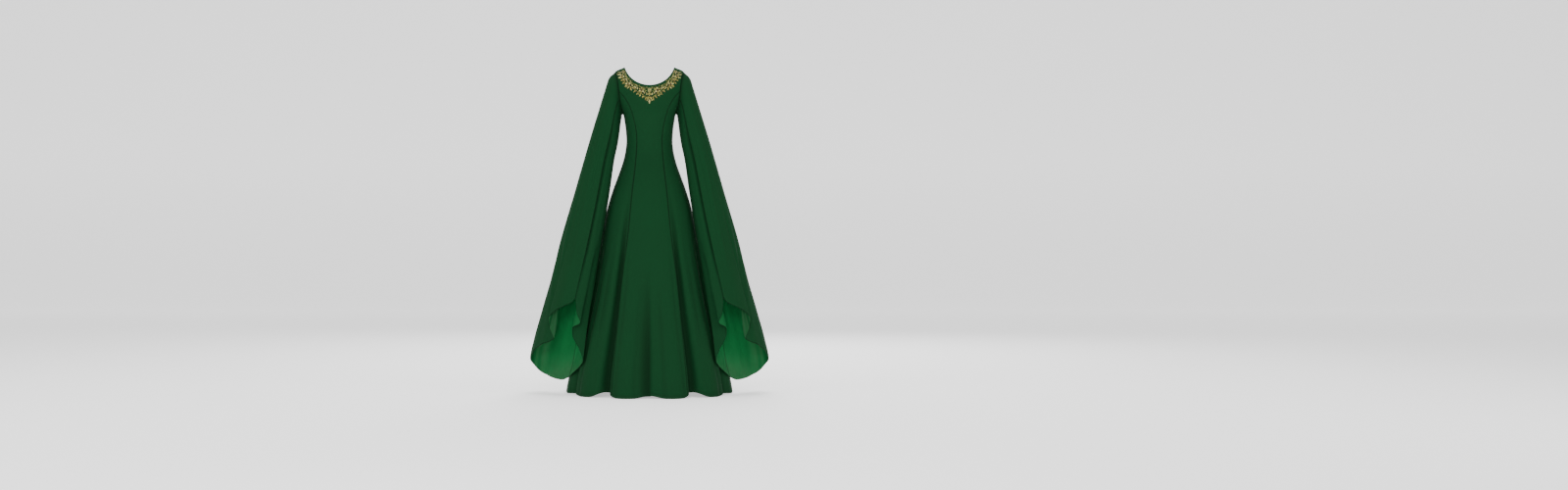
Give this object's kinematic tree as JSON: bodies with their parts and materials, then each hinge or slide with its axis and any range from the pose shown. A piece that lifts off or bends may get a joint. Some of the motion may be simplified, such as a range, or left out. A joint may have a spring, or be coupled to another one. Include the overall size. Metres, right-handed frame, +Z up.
{
  "type": "long gown",
  "caption": "Floor-length princess-line gown with a wide round neck edged in gold embroidery, long trumpet sleeves slit at the hem, and a train",
  "frame": {"origin": "midway between the shoulder seams, level with the points where they meet the neckline, where the wearer's shoulders hold the gown", "axes": "+Z up, -Y the way the gown faces, +X the wearer's left"},
  "size_m": [1.0856, 1.3422, 1.4892],
  "materials": {
    "green_cloth": "soft matte, heavy drape",
    "sleeve_lining": "satin, lighter green"
  },
  "bodies": {
    "root": {"front_centre": "green_cloth", "front_side_left": "green_cloth", "front_side_right": "green_cloth", "back_side_left": "green_cloth", "back_side_right": "green_cloth", "back_centre_left": "green_cloth", "back_centre_right": "green_cloth", "sleeve_upper_left": "green_cloth", "sleeve_upper_right": "green_cloth", "sleeve_under_left": "green_cloth", "sleeve_under_right": "green_cloth", "sleeve_lining_left": "sleeve_lining", "sleeve_lining_right": "sleeve_lining"}
  },
  "joints": []
}
